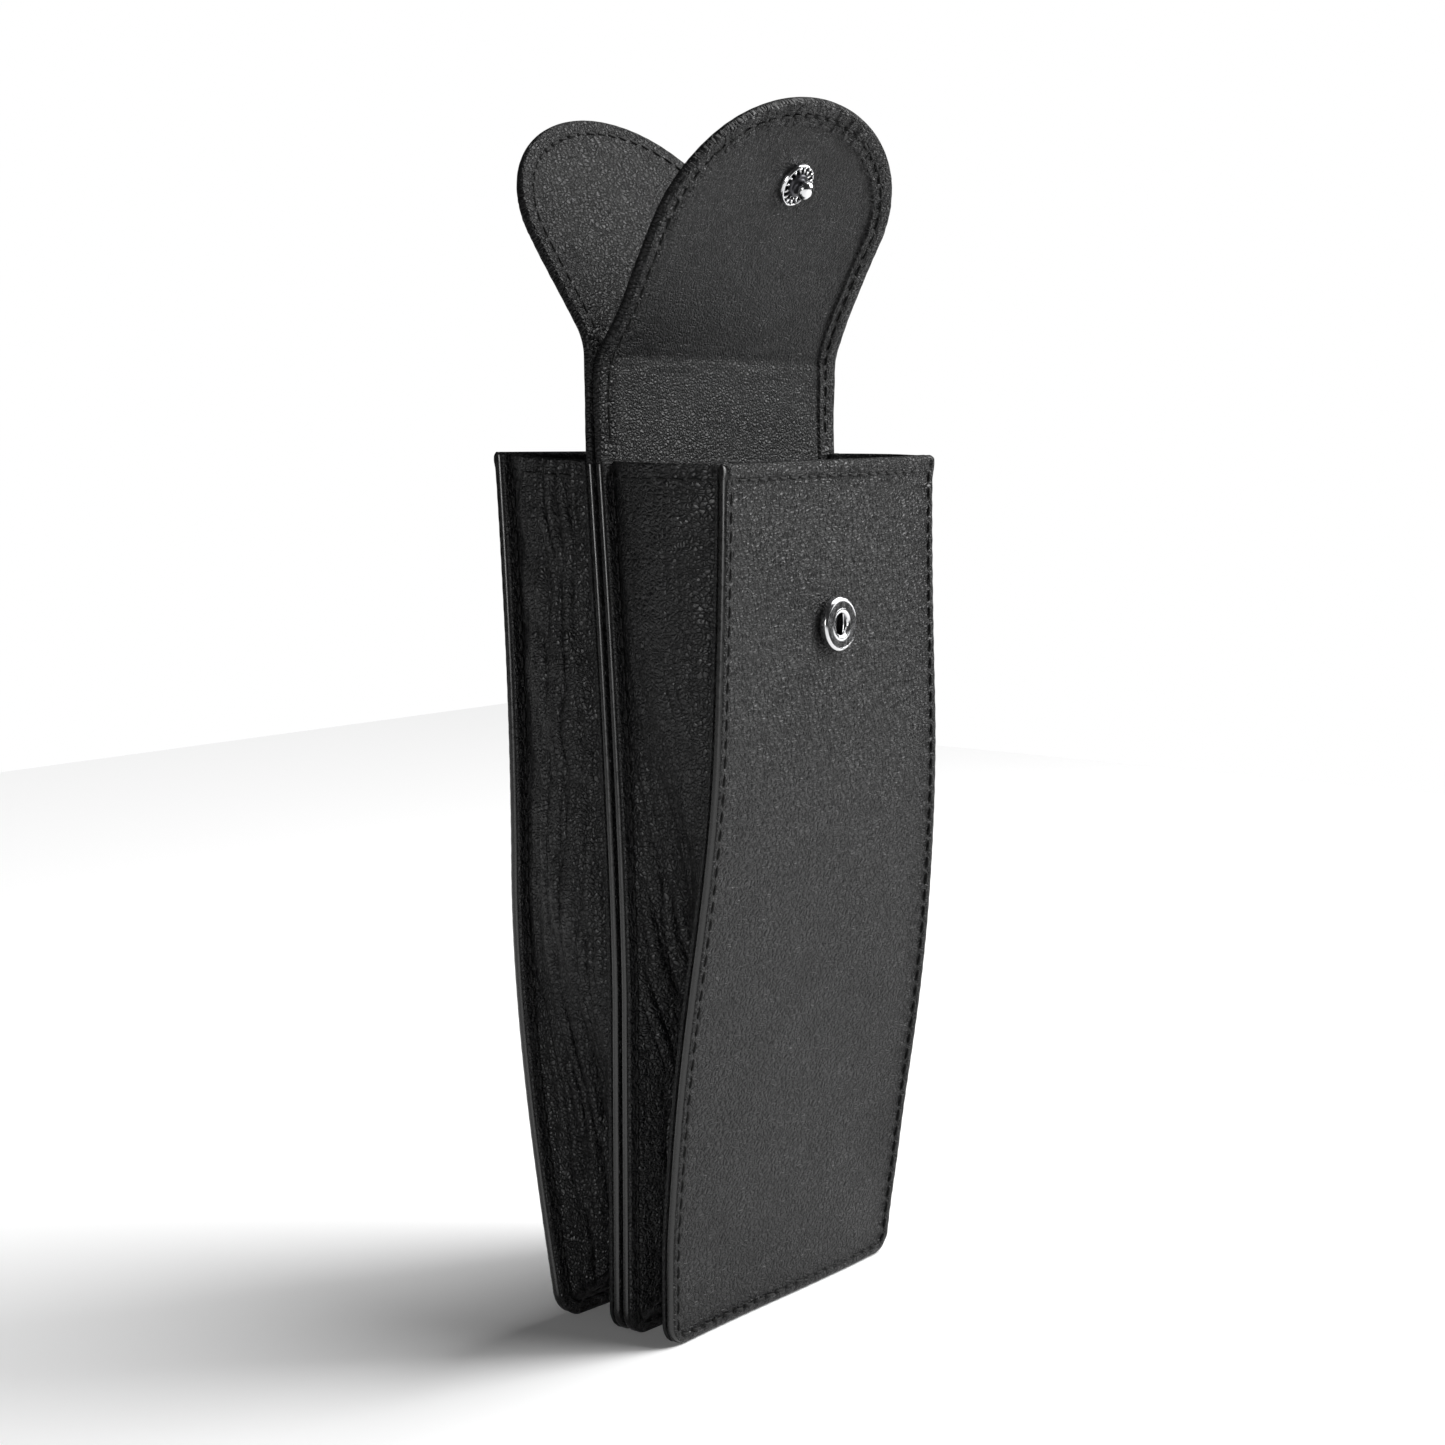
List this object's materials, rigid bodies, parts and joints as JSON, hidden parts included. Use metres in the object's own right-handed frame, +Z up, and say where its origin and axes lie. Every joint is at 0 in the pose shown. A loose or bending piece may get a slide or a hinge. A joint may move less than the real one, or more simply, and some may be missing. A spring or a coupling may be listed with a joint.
{
  "type": "soft pouch glasses case",
  "caption": "Soft leather case of two pouches sewn back to back, with bellows sides and a snap flap on each, for carrying glasses.",
  "frame": {"origin": "middle of the footprint on the floor, the case standing with both flaps up", "axes": "+Z up from the floor, X across the pouch, Y through its thickness with the front pouch towards -Y"},
  "size_m": [0.08, 0.0652, 0.2476],
  "materials": {
    "leather": "fine-grained black leather with a soft sheen",
    "gusset_leather": "thin soft black leather",
    "lining": "smooth split leather",
    "stiffener": "grey board, hidden",
    "thread": "waxed black thread",
    "snap_metal": "nickel plated",
    "rivet_metal": "plain steel",
    "spring_wire": "spring wire"
  },
  "bodies": {
    "case_body": {"spine_board": "stiffener", "front_back_leather": "leather", "front_back_lining": "lining", "front_gusset": "gusset_leather", "front_back_seam": "thread", "rear_back_leather": "leather", "rear_back_lining": "lining", "rear_gusset": "gusset_leather", "rear_back_seam": "thread"},
    "front_wall": {"front_panel_leather": "leather", "front_panel_board": "stiffener", "front_panel_lining": "lining", "front_panel_seam": "thread", "front_mouth_seam": "thread", "front_socket": "snap_metal", "front_socket_post": "rivet_metal", "front_socket_spring": "spring_wire"},
    "front_neck": {"front_neck_leather": "leather", "front_neck_lining": "lining", "front_neck_seam": "thread"},
    "front_tongue": {"front_tongue_leather": "leather", "front_tongue_board": "stiffener", "front_tongue_lining": "lining", "front_tongue_seam": "thread", "front_stud": "snap_metal", "front_stud_rivet": "rivet_metal"},
    "rear_wall": {"rear_panel_leather": "leather", "rear_panel_board": "stiffener", "rear_panel_lining": "lining", "rear_panel_seam": "thread", "rear_mouth_seam": "thread", "rear_socket": "snap_metal", "rear_socket_post": "rivet_metal", "rear_socket_spring": "spring_wire"},
    "rear_neck": {"rear_neck_leather": "leather", "rear_neck_lining": "lining", "rear_neck_seam": "thread"},
    "rear_tongue": {"rear_tongue_leather": "leather", "rear_tongue_board": "stiffener", "rear_tongue_lining": "lining", "rear_tongue_seam": "thread", "rear_stud": "snap_metal", "rear_stud_rivet": "rivet_metal"}
  },
  "joints": [
    {"name": "front_neck_fold", "type": "hinge", "parent": "case_body", "child": "front_neck", "pos_m": [0, -0.00274, 0.1768], "axis": [1, 0, 0], "range_deg": [0, 80.76]},
    {"name": "front_tongue_fold", "type": "hinge", "parent": "front_neck", "child": "front_tongue", "pos_m": [0, -0.00293, 0.1988], "axis": [1, 0, 0], "range_deg": [0, 67.76]},
    {"name": "front_wall_press", "type": "hinge", "parent": "case_body", "child": "front_wall", "pos_m": [0, -0.01682, 0], "axis": [-1, 0, 0], "range_deg": [0, 2.99], "deforming": ["front_gusset"]},
    {"name": "rear_neck_fold", "type": "hinge", "parent": "case_body", "child": "rear_neck", "pos_m": [0, 0.00214, 0.1768], "axis": [-1, 0, 0], "range_deg": [0, 80.39]},
    {"name": "rear_tongue_fold", "type": "hinge", "parent": "rear_neck", "child": "rear_tongue", "pos_m": [0, 0.00291, 0.19879], "axis": [-1, 0, 0], "range_deg": [0, 68.45]},
    {"name": "rear_wall_press", "type": "hinge", "parent": "case_body", "child": "rear_wall", "pos_m": [0, 0.0073, 0], "axis": [1, 0, 0], "range_deg": [0, 1.35], "deforming": ["rear_gusset"]}
  ],
  "couplings": [
    {"joint": "front_wall_press", "follows": "front_neck_fold", "ratio": 0.036942},
    {"joint": "rear_wall_press", "follows": "rear_neck_fold", "ratio": 0.016693}
  ]
}
